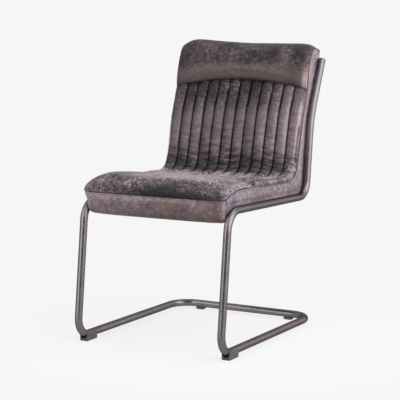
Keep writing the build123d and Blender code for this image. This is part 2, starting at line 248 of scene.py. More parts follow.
def swell(piece, held, pressure, cap, slack):
    """Blows a closed pad up by cloth simulation, with the held points sewn down. Caps each point's move."""
    scene = bpy.context.scene
    rest = per_point(piece.data, "co")
    pins = piece.vertex_groups.new(name="held")
    pins.add(np.flatnonzero(held).tolist(), 1.0, "REPLACE")
    cloth = piece.modifiers.new("cloth", "CLOTH")
    settings = cloth.settings
    settings.quality = 5
    settings.mass = 0.15
    settings.tension_stiffness = 15
    settings.compression_stiffness = 15
    settings.shear_stiffness = 8
    settings.bending_stiffness = 0.6
    settings.use_pressure = True
    settings.uniform_pressure_force = pressure
    settings.shrink_min = -slack
    settings.shrink_max = -slack
    settings.vertex_group_mass = pins.name
    settings.effector_weights.gravity = 0
    cloth.collision_settings.use_collision = False
    cloth.point_cache.frame_start = 1
    cloth.point_cache.frame_end = SWELL_FRAMES
    for number in range(1, SWELL_FRAMES + 1):
        scene.frame_set(number)
    evaluated = piece.evaluated_get(bpy.context.evaluated_depsgraph_get())
    made = per_point(evaluated.data, "co")
    piece.modifiers.remove(cloth)
    scene.frame_set(1)
    move = made - rest
    # The padding below keeps a point from sinking
    outward = per_point(piece.data, "normal")
    sunk = np.minimum(np.sum(move * outward, axis=1, keepdims=True) + SINK_LIMIT, 0)
    move -= outward * sunk
    far = np.linalg.norm(move, axis=1, keepdims=True)
    swollen = rest + move * np.minimum(1, cap * MM / np.maximum(far, 1e-9))
    piece.data.vertices.foreach_set("co", swollen.ravel())
    piece.data.update()


def mark(piece, name, values):
    """Stores one value per point of a pad's top for the piece's material."""
    full = np.zeros(len(piece.data.vertices), np.float32)
    full[:values.size] = values.ravel()
    layer = piece.data.attributes.new(name, "FLOAT", "POINT")
    layer.data.foreach_set("value", full)


def crease(piece, lines):
    """Sharpens the sewn lines of a pad against its subdivision."""
    sewn = {tuple(sorted(pair)) for line in lines for pair in zip(line[:-1].tolist(), line[1:].tolist())}
    layer = piece.data.attributes.new("crease_edge", "FLOAT", "EDGE")
    values = [1.0 if tuple(sorted(e.vertices)) in sewn else 0.0 for e in piece.data.edges]
    layer.data.foreach_set("value", values)


def finish_piece(piece, material, slot, *nodes, levels=1):
    """Gives a piece its subdivision and material, and hides the CAD nodes that it replaces. The slot is not
    used.
    """
    if levels:
        soft = piece.modifiers.new("subdivision", "SUBSURF")
        soft.levels = levels
        soft.render_levels = levels
    piece.data.materials.append(material)
    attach(piece, "root")
    if nodes:
        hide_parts(*nodes)


# Section of a smooth panel from its middle to its side seam: share of the half width, share of the crown
SECTION = [(0, 1), (0.35, 0.995), (0.65, 0.965), (0.82, 0.88), (0.92, 0.73), (0.975, 0.53)]
SECTION += [(1.004, 0.3), (1.008, 0.14), (0.992, 0.0)]
SECTION_SIZE = [HALF, 40]


def section(count):
    """Evenly spaced points of the whole section, from the left seam to the right one."""
    half = curve(SECTION, 200)
    both = np.concatenate([half[:0:-1] * [-1, 1], half])
    return evenly(both * SECTION_SIZE, count) / SECTION_SIZE


beside, crowned = section(101).T
crown = crowned[None, :, None]

# Border seam between the top panels and the side panels, its upper end (s, u) shared by the headrest
HEAD_EDGE = [(90, 47), (117, 55), (150, 60.5), (172, 61.5), (190, 58.5), (201, 51.5), (208.5, 39.5)]
HEAD_EDGE += [(212, 26), (212, 12), (207, 1)]
EDGE = [(49.5, 438.2), (62, 446), (78, 451), (107, 457), (166, 459), (236, 456.5), (300, 453), (353, 451)]
EDGE += [(419, 450.5), (452, 455), (476, 467), (489, 491), (500, 535), (516, 594), (533, 650)]
EDGE += [on_upper(s, u) for s, u in [(62, 39), *HEAD_EDGE]]
edge = curve(EDGE, 1200)

# Front roll of the seat, whose left end bulges further out than its right one
ROLL = [(28.7, 438.0), (27.2, 440.2), (25.8, 445), (25.4, 450.5), (27.7, 460), (38, 471), (62, 479.5)]
ROLL += [(105, 484), (150, 482), (190, 474.5), (222, 463), (234, 454), (236, 446)]
REAR_TUCK = [0.5, 1.5, 3, 6, 10]
roll_rows = 58
roll_mid = curve(ROLL, roll_rows)
roll_end = matched(edge, [EDGE[0], EDGE[2], EDGE[3], EDGE[5]], np.linspace(0, 1, roll_rows))
roll_end[-len(REAR_TUCK):, 1] -= REAR_TUCK
roll_yz = roll_end[:, None, :] + (roll_mid - roll_end)[:, None, :] * crown
front_bulge = np.where(beside < 0, 10.0, 2.0) * np.abs(beside) ** 6
roll_x = beside * ROLL_HALF + np.sign(beside) * front_bulge * smooth(150, 60, roll_end[:, :1])
roll = grid_of(roll_x, roll_yz)

# Sewn channels along the seat, through the fold and up the back
RIB_LINE = [on_rail(s, u) for s, u in [(181, 52.5), (200, 53), (260, 51), (330, 49.5), (375, 50.5)]]
RIB_LINE += [(452, 455), (476, 469), (490, 493), (501, 535), (516, 594), (531.5, 648)]
RIB_LINE += [on_upper(s, u) for s, u in [(40, 37), (75, 37.5), (112, 39)]]
RIB_ROUND = 0.72
rib_line = curve(RIB_LINE, 900)
rib_far = lengths(rib_line)
kink_far = rib_far[np.argmin(np.linalg.norm(rib_line - on_upper(40, 37), axis=1))] - 40


def rib_section(per_rib):
    """Points (x, share of the height) across all channels, and the places of those that are sewn down."""
    angle = np.linspace(-HALF_PI, HALF_PI, 121)
    flat = np.sign(np.sin(angle)) * np.abs(np.sin(angle)) ** RIB_ROUND
    rise = np.abs(np.cos(angle)) ** RIB_ROUND
    points, sewn = [], []
    for number in range(RIBS):
        middle = (number + 0.5) * PITCH - HALF
        outer = (number == 0) & (flat < 0) | (number == RIBS - 1) & (flat > 0)
        x = middle + flat * np.where(outer, PITCH / 2 + 4.5, PITCH / 2)
        h = np.where(outer, -0.1 + 1.1 * rise, rise)
        rib = evenly(np.stack([x, h * RIB_HEIGHT], 1), per_rib + 1)
        first = 0 if number == 0 else 1
        if number:
            sewn.append(len(points) - 1)
        points.extend(rib[first:].tolist())
    return np.array(points) / [1, RIB_HEIGHT], sewn


rib_points, sewn_cols = rib_section(11)
col_x, col_rise = rib_points.T
rib_rows = 150
ends = kink_far + (72 + ARCH * (1 - (col_x / SIDE) ** 2)) + 7
reach = np.linspace(0, 1, rib_rows)[:, None] * ends[None, :]
height = RIB_HEIGHT * smooth(0, 16, reach + 4) * (1 - 0.35 * smooth(-16, 0, reach - ends + 4))
height *= 1 - 0.12 * bump_at(reach, 262, 40)
gather = bump_at(reach, 270, 36) + 0.35 * bump_at(reach, 345, 70) + 0.3 * bump_at(reach, 200, 40)
zero = np.zeros_like(reach)
in_rib = np.stack([col_x * 0.3 + zero, reach, zero], -1)
pleats = 1.5 * waves(in_rib, 13, 21) + 0.8 * waves(in_rib, 8, 22)
height += gather * (1.3 * pleats - 0.9)
flat_yz = along(rib_line, rib_far, reach)
out_yz = along(across_line(rib_line), rib_far, reach)
out_yz /= np.linalg.norm(out_yz, axis=-1, keepdims=True)
rib_yz = flat_yz + out_yz * (col_rise * height)[..., None]
flare = 2.5 * smooth(430, 540, reach) - 2.5 * bump_at(reach, 340, 60)
flare = flare - 3.0 * bump_at(reach, 330, 50) * (col_x < 0)
rib_x = col_x + np.sign(col_x) * smooth(195, 226, np.abs(col_x)) * flare
ribs = grid_of(rib_x, rib_yz)
ribs_under = grid_of(rib_x * 0.975, flat_yz - out_yz * PAD_DEPTH)

# Headrest (s, u), from its arched lower seam over the top to the rear
HEAD = [(99, 42), (99.5, 50), (105, 59), (116, 65), (135, 67.5), (165, 67.5), (190, 64.5), (208, 57)]
HEAD += [(221, 45), (227.3, 31), (228.3, 15), (224, 0), (213, -8)]
HEAD_END = [(72, 36), (76, 42), *HEAD_EDGE, (204, -1)]
# The left of the top edge stands a little higher than the right, as in the photograph
RISE = [(-1.1, 10), (-0.93, 13), (-0.82, 12.5), (-0.63, 8.5), (-0.45, 5.5), (-0.22, 2.5)]
RISE += [(0, 0), (0.8, 0.5), (1.1, 0)]
head_rows = 62
row = np.linspace(0, 1, head_rows)[:, None]
head_mid = curve(HEAD, head_rows)
head_knots = [HEAD_END[k] for k in (0, 3, 8, 12)]
head_end = matched(curve(HEAD_END, 500), head_knots, row[:, 0])
mid_s, mid_u = head_mid[:, :1], head_mid[:, 1:]
end_s, end_u = head_end[:, :1], head_end[:, 1:]
wide = np.minimum(np.abs(beside) / SECTION[-1][0], 1)
low = 1 - smooth(0, 0.45, row)
arch_fall = ARCH * wide**2 * low
rise_at = blurred(np.interp(beside, *np.array(RISE).T), 13)
top_share = smooth(0.45, 0.75, row) * smooth(0.97, 0.84, row)
head_s = mid_s - arch_fall + rise_at * top_share
head_s += (end_s - mid_s + ARCH * low) * wide**16
head_u = end_u + (mid_u - end_u) * crowned
head_x = beside * (HEAD_HALF - 5.0 * smooth(17, 2, end_u) * np.abs(beside) ** 6)
head = grid_of(head_x, on_upper(head_s[..., None], head_u[..., None]))

# Front boxing, from the roll's seam down the nose and back under it
BOX_MID = [(28.7, 437.9), (28.4, 435.5), (28.3, 431), (28.3, 424), (29, 410), (33, 392), (40, 379.5)]
BOX_MID += [(52, 372.5), (74, 378.5), (112, 391)]
BOX_END = [(49.5, 437.9), (48.6, 435.5), (48, 431), (47.5, 424), (47, 410), (48, 396), (52, 385)]
BOX_END += [(60, 379.5), (80, 384), (112, 391)]
box_rows = 34
box_mid = curve(BOX_MID, box_rows)
box_end = curve(BOX_END, box_rows)
box_yz = box_end[:, None, :] + (box_mid - box_end)[:, None, :] * crown
box_x = beside * BOX_HALF + np.sign(beside) * front_bulge * smooth(409, 436, box_end[:, 1:])
boxing = grid_of(box_x, box_yz)

# Side panels, from the border seam to the bottom and rear, bellied out where no tube runs beside them
BOTTOM = [(48, 383), (60, 379.8), (80, 384.5), (112, 391.5)]
BOTTOM += [on_rail(s, u) for s, u in [(110, -13), (200, -13), (300, -13), (400, -13), (433, -12.6)]]
BOTTOM += [(491.6, 389.6), (515, 394.5), (532.6, 406.5), (544, 422), (548.6, 440), (556, 500), (565, 577)]
BOTTOM += [(571.3, 629), *(on_upper(s, u) for s, u in [(30, -7), (60, -7.5), (110, -8), (150, -7.5)])]
BOTTOM += [on_upper(s, u) for s, u in [(175, -7), (190, -6.8), (200, -5.8), (207, -2)]]
bottom = curve(BOTTOM, 1200)
side_rows, side_cols = 210, 17
shares = np.linspace(0, 1, side_rows)
edge_knots = [EDGE[0], EDGE[5], EDGE[10], EDGE[14], on_upper(*HEAD_EDGE[2]), EDGE[-1]]
bottom_knots = [BOTTOM[0], BOTTOM[5], BOTTOM[11], BOTTOM[16], on_upper(150, -7.5), BOTTOM[-1]]
upper_line = matched(edge, edge_knots, shares)[:, None, :]
lower_line = matched(bottom, bottom_knots, shares)[:, None, :]
down = np.linspace(0, 1, side_cols)[None, :]
side_yz = upper_line * (1 - down[..., None]) + lower_line * down[..., None]
tube_runs = [(KNEE, SEAT_CORNER, 60), (SEAT_CORNER, KINK, 40), (KINK, on_upper(190, 0), 30)]
spine = np.concatenate([evenly(np.array([start, end]), count) for start, end, count in tube_runs])
off = np.min(np.linalg.norm(side_yz[:, :, None, :] - spine[None, None], axis=-1), axis=2)
belly = np.sin(math.pi * np.clip(down * 1.25, 0, 1)) ** 0.7
side_x = SIDE_PLANE + smooth(13.5, 27, off) * (3.9 * (1 - down) + 2.0 * belly)
right_side = grid_of(side_x, side_yz)
left_side = right_side * [-1, 1, 1]
left_side[..., 0] += 3.0 * bump_at(left_side[..., 2], 530, 42) * (1 - down)
up_left = 7 * smooth(790, 822, left_side[..., 2]) * (1 - down)
left_side += up_left[..., None] * np.array([0, *UPPER])

# Outside back, from the top to the seat's rear
BACK = [on_upper(s, u) for s, u in [(212, -7), (190, -9), (160, -9.5), (110, -9.5), (60, -9.5), (28, -10.8)]]
BACK += [(574.8, 628.5), (568.4, 580), (557.6, 500), (549.5, 440), (545, 421.5), (533, 405.5), (515, 393.5)]
BACK += [(491.6, 388.6), on_rail(425, -13.4)]
back_rows, back_cols = 110, 61
back_line = curve(BACK, back_rows)
back_x = np.sin(np.linspace(-HALF_PI, HALF_PI, back_cols) * 0.8) / math.sin(0.8 * HALF_PI) * SIDE
back_wide = np.abs(back_x / SIDE)[None, :]
fall = np.linspace(0, 1, back_rows)[:, None]
plump = (1 - back_wide**8) * np.sin(math.pi * fall) ** 0.4
tuck = 6.0 * smooth(0.93, 1.0, back_wide) * smooth(0.03, 0.0, fall)
corner = smooth(0.93, 1.0, back_wide) * smooth(0.16, 0.0, fall)
back_yz = back_line[:, None, :] + across_line(back_line)[:, None, :] * (2.5 * plump - tuck)[..., None]
back_yz -= (8.0 * corner)[..., None] * UPPER
back = grid_of(back_x, back_yz)

# Dust cover under the seat
cover_rows, cover_cols = 60, 45
cover_line = np.array([on_rail(s, -13.6) for s in np.linspace(66, 436, cover_rows)])
cover_x = np.linspace(-COVER_HALF, COVER_HALF, cover_cols)
sag = np.sin(math.pi * np.linspace(0, 1, cover_rows))[:, None] * (1 - (cover_x / COVER_HALF) ** 2)[None, :]
cover = grid_of(cover_x, cover_line[:, None, :] - inward(RAIL) * (3.0 * sag**0.6)[..., None])

pads = {
    "front_roll_leather": (roll, thicken(roll, -PAD_DEPTH)),
    "channel_leather": (ribs, ribs_under),
    "headrest_leather": (head, thicken(head, -PAD_DEPTH)),
    "front_boxing_leather": (boxing, thicken(boxing, PANEL_DEPTH)),
    "right_side_leather": (right_side, right_side - [PANEL_DEPTH, 0, 0]),
    "left_side_leather": (left_side, left_side + [PANEL_DEPTH, 0, 0]),
    "outside_back_leather": (back, thicken(back, -BACK_DEPTH)),
    "dust_cover_cloth": (cover, thicken(cover, COVER_DEPTH)),
}
pieces = {name: closed_pad(name, top, under) for name, (top, under) in pads.items()}


def sewn_points(top, columns=()):
    """Marks a pad's under sheet, rim and sewn columns, which the filling can't move."""
    held = np.zeros(top.shape[:2], bool)
    held[[0, -1], :] = True
    held[:, [0, -1]] = True
    held[:, list(columns)] = True
    return np.concatenate([held.ravel(), np.ones(held.size, bool)])


rib_at = np.arange(ribs.shape[0] * ribs.shape[1]).reshape(ribs.shape[:2])
crease(pieces["channel_leather"], [rib_at[:, column] for column in sewn_cols])
swell(pieces["front_roll_leather"], sewn_points(roll), pressure=3.0, cap=7.0, slack=0.02)
swell(pieces["channel_leather"], sewn_points(ribs, sewn_cols), pressure=4.0, cap=4.0, slack=0.03)
swell(pieces["headrest_leather"], sewn_points(head), pressure=2.0, cap=4.0, slack=0.004)


def set_inputs(tree, made, inputs):
    """Sets a node's inputs, each to a value or to another node's output."""
    for key, value in inputs.items():
        if isinstance(value, bpy.types.NodeSocket):
            tree.links.new(value, made.inputs[key])
        else:
            made.inputs[key].default_value = value


def node(tree, kind, inputs=None, **settings):
    """New node with its settings and its inputs."""
    made = tree.nodes.new(kind)
    for key, value in settings.items():
        setattr(made, key, value)
    set_inputs(tree, made, inputs or {})
    return made


def new_material(name):
    """Empty material: itself, its tree, its shader and the place in the piece."""
    made = bpy.data.materials.new(name)
    made.use_nodes = True
    tree = made.node_tree
    where = node(tree, "ShaderNodeTexCoord").outputs["Object"]
    return made, tree, tree.nodes["Principled BSDF"], where


def noise(tree, where, scale, detail=4.0, roughness=0.55, output="Fac"):
    inputs = {"Vector": where, "Scale": scale, "Detail": detail, "Roughness": roughness}
    return node(tree, "ShaderNodeTexNoise", inputs).outputs[output]


def bands(tree, where, scale, direction, distortion=0.0):
    inputs = {"Vector": where, "Scale": scale, "Distortion": distortion}
    made = node(tree, "ShaderNodeTexWave", inputs, wave_type="BANDS", bands_direction=direction)
    return made.outputs["Fac"]


def cell_edges(tree, where, scale, width, strength):
    """Thin lines between the cells of a cracked surface."""
    inputs = {"Vector": where, "Scale": scale}
    cells = node(tree, "ShaderNodeTexVoronoi", inputs, feature="DISTANCE_TO_EDGE")
    return ranged(tree, cells.outputs["Distance"], 0.0, width, strength, 0.0)


def ranged(tree, value, low, high, to_low=0.0, to_high=1.0):
    """Maps a value from one range to another and stops at its ends."""
    inputs = {"Value": value, "From Min": low, "From Max": high, "To Min": to_low, "To Max": to_high}
    return node(tree, "ShaderNodeMapRange", inputs, clamp=True).outputs["Result"]


def maths(tree, operation, first, second):
    return node(tree, "ShaderNodeMath", {0: first, 1: second}, operation=operation).outputs["Value"]


def total(tree, *values):
    made = values[0]
    for value in values[1:]:
        made = maths(tree, "ADD", made, value)
    return made


def centred(tree, value, strength):
    """Noise moved from about 0.5 to about 0, times a strength."""
    return maths(tree, "MULTIPLY", maths(tree, "SUBTRACT", value, 0.5), strength)


# Sockets of the mix node for colours
MIX_SHARE, MIX_FIRST, MIX_SECOND, MIX_RESULT = 0, 6, 7, 2


def mixed(tree, share, first, second, blend="MIX"):
    """Mix of two colours, each a triple or another node's output."""
    colours = [(*c, 1.0) if isinstance(c, tuple) else c for c in (first, second)]
    inputs = {MIX_SHARE: share, MIX_FIRST: colours[0], MIX_SECOND: colours[1]}
    return node(tree, "ShaderNodeMix", inputs, data_type="RGBA", blend_type=blend).outputs[MIX_RESULT]


def bump(tree, height, strength, distance, **settings):
    inputs = {"Strength": strength, "Distance": distance, "Height": height}
    return node(tree, "ShaderNodeBump", inputs, **settings)


def marked(tree, name):
    """Value that mark stored on the piece's points."""
    return node(tree, "ShaderNodeAttribute", attribute_name=name).outputs["Fac"]


# Hide from its darkest to its palest: wax and wear, and the painted shade, highlights and sheen of the
# points' marks
HIDE = [(0.0, (0.010, 0.008, 0.009)), (0.25, (0.036, 0.028, 0.030)), (0.5, (0.094, 0.071, 0.073))]
HIDE += [(0.72, (0.175, 0.140, 0.146)), (1.0, (0.38, 0.325, 0.34))]


def hide_colour(tree, shade):
    """Colour of the hide for a shade from 0 to 1."""
    ramp = node(tree, "ShaderNodeValToRGB", {"Fac": shade})
    stops = ramp.color_ramp.elements
    for _ in range(len(HIDE) - 2):
        stops.new(0.5)
    for stop, (at, colour) in zip(stops, HIDE):
        stop.position = at
        stop.color = (*colour, 1)
    return ramp.outputs["Color"]


def scuff_lines(tree, where, turn, shift, scuffs):
    """Thin slanted scratches, and how strongly each place is rubbed."""
    spin = {"Vector": where, "Rotation": (0.0, turn, 0.2), "Scale": (10.0, 10.0, 52.0)}
    spun = node(tree, "ShaderNodeMapping", {**spin, "Location": (shift, shift, shift)}).outputs[0]
    lines = maths(tree, "SUBTRACT", noise(tree, spun, 1.5, 2.0), 0.5)
    thin = ranged(tree, maths(tree, "ABSOLUTE", lines, 0.0), 0.0, 0.014, 1.0, 0.0)
    rubbed = ranged(tree, noise(tree, where, 15.0 + shift, 3.0), 0.48, 0.62, 0.0, scuffs)
    return thin, rubbed


def leather(name, base, mottle, crackle, scuffs, rough, tints, seed):
    """Waxed and rubbed hide. Its shade comes from clouds, specks, crackle, scuffs and the points' marks,
    which also hold painted shade, highlights and sheen.
    """
    made, tree, shader, object_place = new_material(name)
    shifted = {"Vector": object_place, "Location": (seed, 0.3 * seed, -seed)}
    where = node(tree, "ShaderNodeMapping", shifted).outputs[0]
    broad = noise(tree, where, 13.0, 4.0)
    cloud = noise(tree, where, 88.0, 7.0, 0.68)
    speck = noise(tree, where, 270.0, 4.0, 0.6)
    warp = noise(tree, where, 60.0, 3.0, output="Color")
    warped = {0: warp, 1: (0.012, 0.012, 0.012), 2: where}
    bent = node(tree, "ShaderNodeVectorMath", warped, operation="MULTIPLY_ADD").outputs[0]
    small_cracks = cell_edges(tree, bent, 210.0, 0.12, 0.6)
    cracks = maths(tree, "MAXIMUM", small_cracks, cell_edges(tree, bent, 100.0, 0.10, 1.0))
    vein_strength = ranged(tree, broad, 0.35, 0.6, 0.4 * crackle, crackle)
    veins = maths(tree, "MULTIPLY", maths(tree, "SUBTRACT", cracks, 0.25), vein_strength)
    clouds = [centred(tree, broad, 0.9), centred(tree, cloud, 1.7), centred(tree, speck, 0.8)]
    wear_and_sheen = maths(tree, "MAXIMUM", maths(tree, "ADD", marked(tree, "mottle"), mottle), 0.05)
    field = maths(tree, "MULTIPLY", total(tree, *clouds, veins), wear_and_sheen)
    for turn, shift in ((0.55, 3.0), (-0.8, 8.0)):
        thin, rubbed = scuff_lines(tree, where, turn, shift, scuffs)
        scuff = maths(tree, "MULTIPLY", maths(tree, "MULTIPLY", thin, wear_and_sheen), rubbed)
        field = maths(tree, "ADD", field, scuff)
    # The tone mark brings in wax and wear, and also painted shade, highlights and sheen
    colour = hide_colour(tree, total(tree, field, marked(tree, "tone"), base))
    tinted = mixed(tree, ranged(tree, noise(tree, where, 17.0, 3.0), 0.4, 0.6), *tints)
    pore_size = {"Vector": where, "Scale": 560.0, "Smoothness": 0.6}
    pores = node(tree, "ShaderNodeTexVoronoi", pore_size, feature="SMOOTH_F1").outputs["Distance"]
    fine = bump(tree, pores, 0.3, 0.0006)
    split = bump(tree, cracks, 0.3, 0.0009, invert=True)
    soft = bump(tree, noise(tree, where, 95.0, 5.0, 0.6), 0.4, 0.0022)
    tree.links.new(fine.outputs[0], split.inputs["Normal"])
    tree.links.new(split.outputs[0], soft.inputs["Normal"])
    set_inputs(tree, shader, {
        "Base Color": mixed(tree, 1.0, colour, tinted, "MULTIPLY"),
        "Roughness": ranged(tree, cloud, 0.35, 0.65, rough + 0.12, rough),
        "Specular IOR Level": 0.2,
        "Normal": soft.outputs[0],
    })
    return made


GREYISH = ((0.96, 0.97, 1.07), (1.04, 0.98, 0.97))
BROWNISH = ((1.01, 0.955, 0.985), (1.10, 0.96, 0.91))
LILAC = ((0.97, 0.93, 1.06), (1.03, 0.96, 0.99))
# Base shade, mottle, crackle, scuffs, roughness, tints and seed of each hide
roll_hide = leather("seat_hide", 0.42, 1.0, 0.70, 0.30, 0.42, GREYISH, 0.0)
rib_hide = leather("channel_hide", 0.53, 0.16, 0.55, 0.0, 0.36, GREYISH, 2.0)
head_hide = leather("headrest_hide", 0.46, 0.95, 0.20, 0.32, 0.34, BROWNISH, 5.0)
box_hide = leather("boxing_hide", 0.65, 0.50, 0.10, 0.45, 0.36, BROWNISH, 7.0)
side_hide = leather("side_hide", 0.75, 0.66, 0.35, 0.10, 0.42, LILAC, 9.0)
back_hide = leather("back_hide", 0.50, 0.45, 0.15, 0.12, 0.42, BROWNISH, 11.0)


def at_depth(grid, depth):
    """Points and unit normals at a distance from the first row of a grid, along its columns."""
    far = np.cumsum(np.linalg.norm(np.diff(grid, axis=0), axis=2), axis=0)
    far = np.concatenate([np.zeros((1, grid.shape[1])), far])
    out = normals(grid)
    points = np.array([along(grid[:, c], far[:, c], [depth])[0] for c in range(grid.shape[1])])
    facing = np.array([along(out[:, c], far[:, c], [depth])[0] for c in range(grid.shape[1])])
    return points, facing / np.linalg.norm(facing, axis=1, keepdims=True)


def forward(facing):
    """The same normals, turned to the front of the chair."""
    return facing if facing[len(facing) // 2, 1] < 0 else -facing


# Rings of a stitch: share of its length, share of its thickness, lift
STITCH = [(-0.5, 0.25, -0.5), (-0.42, 0.75, 0.05), (-0.2, 1.0, 0.3)]
STITCH += [(-share, girth, lift) for share, girth, lift in STITCH[::-1]]
STITCH_SIDES = 8
# Pitch, length and thickness of the stitches
SEAM, TOP_STITCH = (5.0, 5.4, 0.95), (6.5, 4.4, 0.7)


def stitch_row(points, facing, pitch, length, thick):
    """Rounded stitches along a line: their points and faces."""
    far = lengths(points)
    around = np.linspace(0, 2 * math.pi, STITCH_SIDES, endpoint=False)
    made, faces = [], []
    for middle in np.arange(pitch, far[-1] - pitch, pitch):
        start, end = along(points, far, [middle - 1, middle + 1])
        ahead = (end - start) / np.linalg.norm(end - start)
        up = along(facing, far, [middle])[0]
        up = up - ahead * (up @ ahead)
        up /= np.linalg.norm(up)
        sideways = np.cross(ahead, up)
        base = (start + end) / 2
        first = len(made)
        last = first + (len(STITCH) - 1) * STITCH_SIDES
        for share, girth, lift in STITCH:
            ring = base + ahead * length * share + up * thick * lift
            for a in around:
                made.append(ring + thick * girth * (math.cos(a) * sideways + math.sin(a) * up))
        for ring in range(first, last, STITCH_SIDES):
            for k in range(STITCH_SIDES):
                a, b = ring + k, ring + (k + 1) % STITCH_SIDES
                faces.append((a, b, b + STITCH_SIDES, a + STITCH_SIDES))
        faces.append(tuple(range(first + STITCH_SIDES - 1, first - 1, -1)))
        faces.append(tuple(range(last, last + STITCH_SIDES)))
    return np.array(made), faces


def sew(name, rows):
    """One piece from rows of stitches, each a line, its normals and its size."""
    points, faces = [], []
    for line, facing, size in rows:
        made, quads = stitch_row(line, facing, *size)
        start = sum(len(p) for p in points)
        points.append(made)
        faces += [tuple(start + k for k in quad) for quad in quads]
    return add_mesh(name, np.concatenate(points), faces)


def twisted_thread():
    made, tree, shader, where = new_material("thread")
    twist = bands(tree, where, 380.0, "DIAGONAL", 2.0)
    colour = mixed(tree, twist, (0.012, 0.010, 0.011), (0.04, 0.033, 0.035))
    set_inputs(tree, shader, {"Base Color": colour, "Roughness": 0.7})
    return made


thread = twisted_thread()
BORDERS = {"right_border_stitches": (right_side, 1.0), "left_border_stitches": (left_side, -1.0)}
for name, (side, way) in BORDERS.items():
    line = side[:, 0] + [0.9 * way, 0, 0]
    rows = [(line, np.broadcast_to([way, 0, 0], line.shape), SEAM)]
    line, _ = at_depth(np.swapaxes(side, 0, 1), 5.0)
    rows.append((line, np.broadcast_to([way, 0, 0], line.shape), TOP_STITCH))
    finish_piece(sew(name, rows), thread, "leather", levels=0)
rows = []
for depth, size in ((0.6, SEAM), (5.5, TOP_STITCH)):
    line, facing = at_depth(boxing[:, 5:-5], depth)
    rows.append((line, forward(facing), size))
for column in (8, -9):
    rows.append((boxing[2:22, column], forward(normals(boxing)[2:22, column]), TOP_STITCH))
finish_piece(sew("front_seam_stitches", rows), thread, "leather", levels=0)


def roll_tone():
    """Dark wax on the front, pale wear on the crest, paler at the left end and a painted highlight on the
    right end.
    """
    x, y, z = np.moveaxis(roll, -1, 0)
    front_face = smooth(120, 90, y)
    tone = -0.76 * bump_at(x, 18, 78) * bump_at(z, 447, 19) * front_face
    tone -= 0.34 * bump_at(x, 120, 60) * smooth(462, 446, z) * front_face
    tone += 0.08 * smooth(90, 190, y) + 0.05 * smooth(-150, -215, x) - 0.06 * smooth(60, 170, x) * front_face
    crest = 0.12 + 0.32 * smooth(-110, 40, x) - 0.17 * smooth(100, 190, x)
    tone += crest * smooth(467, 481, z) * smooth(44, 78, y)
    left_seam = 0.10 * smooth(446, 440, z) * smooth(-40, -90, x)
    # Paler along the lower seam at the left and at the left end; painted highlight on the right end, where it
    # rounds into the side seam
    tone += left_seam + 0.12 * smooth(208, 222, -x) + 0.26 * smooth(200, 222, x)
    return tone


def channel_marks():
    """Tone and mottle: a paler seat with wear and a painted sheen, painted shade in the fold and on its
    pleats, dark upper ends, painted light and shade across each rib, painted shade in the grooves, a painted
    highlight on the right border.
    """
    x = rib_x
    left = ends - reach
    local = np.where(np.abs(x) >= HALF, 0.5, (x + HALF) / PITCH % 1.0)
    right_ribs = smooth(60, 205, x)
    tops = smooth(125, 40, left) * (1 - 0.75 * right_ribs) * (1 - 0.5 * smooth(-150, -215, x))
    # Painted shade in the fold between seat and back
    folds = bump_at(reach, 263, 41)
    seat = smooth(236, 208, reach)
    in_seat = np.stack([x * 0.22, reach + 0.12 * x, zero], -1)
    streaks = smooth(0.35, 0.0, np.abs(waves(in_seat, 26, 41)))
    # Paler seat: wear streaks, and a painted sheen where the seat is seen at a grazing angle
    wear_and_sheen = 0.20 - 0.10 * smooth(150, 50, reach) - 0.26 * smooth(70, 190, x)
    wear_and_sheen = wear_and_sheen + 0.30 * streaks * smooth(208, 185, x)
    tone = -0.50 * tops - 0.50 * folds * (1 - 0.4 * right_ribs) + wear_and_sheen * seat
    tone += 0.13 * right_ribs * (1 - seat)
    # Painted highlight along the right edge of each rib, stronger towards the right
    ridge = smooth(0.78, 0.85, local) * smooth(0.95, 0.90, local)
    tone += (0.12 + 0.22 * right_ribs) * ridge * (1 - folds)
    # Painted shade on the left of each rib and painted light on its right
    tone += (0.10 * smooth(0.3, 0.75, local) - 0.07 * smooth(0.55, 0.15, local)) * (1 - seat)
    shift = np.random.default_rng(4).uniform(-0.06, 0.05, RIBS)
    tone += shift[np.clip((x + HALF) // PITCH, 0, RIBS - 1).astype(int)] * (1 - seat)
    # Painted highlight along the rounded right border
    tone += 0.20 * smooth(217.5, 220, x) * smooth(225, 223, x)
    # Painted shade in the sewn grooves
    tone -= 0.5 * (smooth(0.91, 0.975, local) + smooth(0.09, 0.03, local))
    # Painted light and shade following the pleats in the fold
    tone += 0.22 * np.clip(pleats, -1.6, 1.0) * np.minimum(gather, 1) * smooth(215, 245, reach)
    return tone, 0.85 * tops + 0.5 * folds + 1.15 * seat


def headrest_marks():
    """Tone and mottle: smooth below with a painted sheen band, scuffed and darker above, painted shade on the
    top edge and along the lower seam, a painted highlight at the right end.
    """
    unarched = head_s + arch_fall
    upper = smooth(118, 160, unarched)
    over = smooth(46, 26, head_u)
    band = bump_at(unarched, 138, 13)
    # Paler below with a painted sheen band across it, darker above, and painted shade on the top edge
    tone = 0.06 * (1 - upper) + 0.12 * band * bump_at(head_x, 10, 150) - 0.26 * upper - 0.18 * over
    # Painted highlight at the right end, painted shade just inside it, darker at the left end
    right_end = 0.40 * smooth(203, 217, head_x) * (1 - 0.6 * upper)
    tone += right_end - 0.13 * bump_at(head_x, 178, 24) - 0.08 * smooth(-165, -214, head_x)
    tone += 0.12 * waves(head, 95, 31) * upper
    # Painted shadow along the arched lower seam
    tone -= 0.28 * smooth(0.07, 0.02, row)
    return tone, -0.80 * (1 - upper)


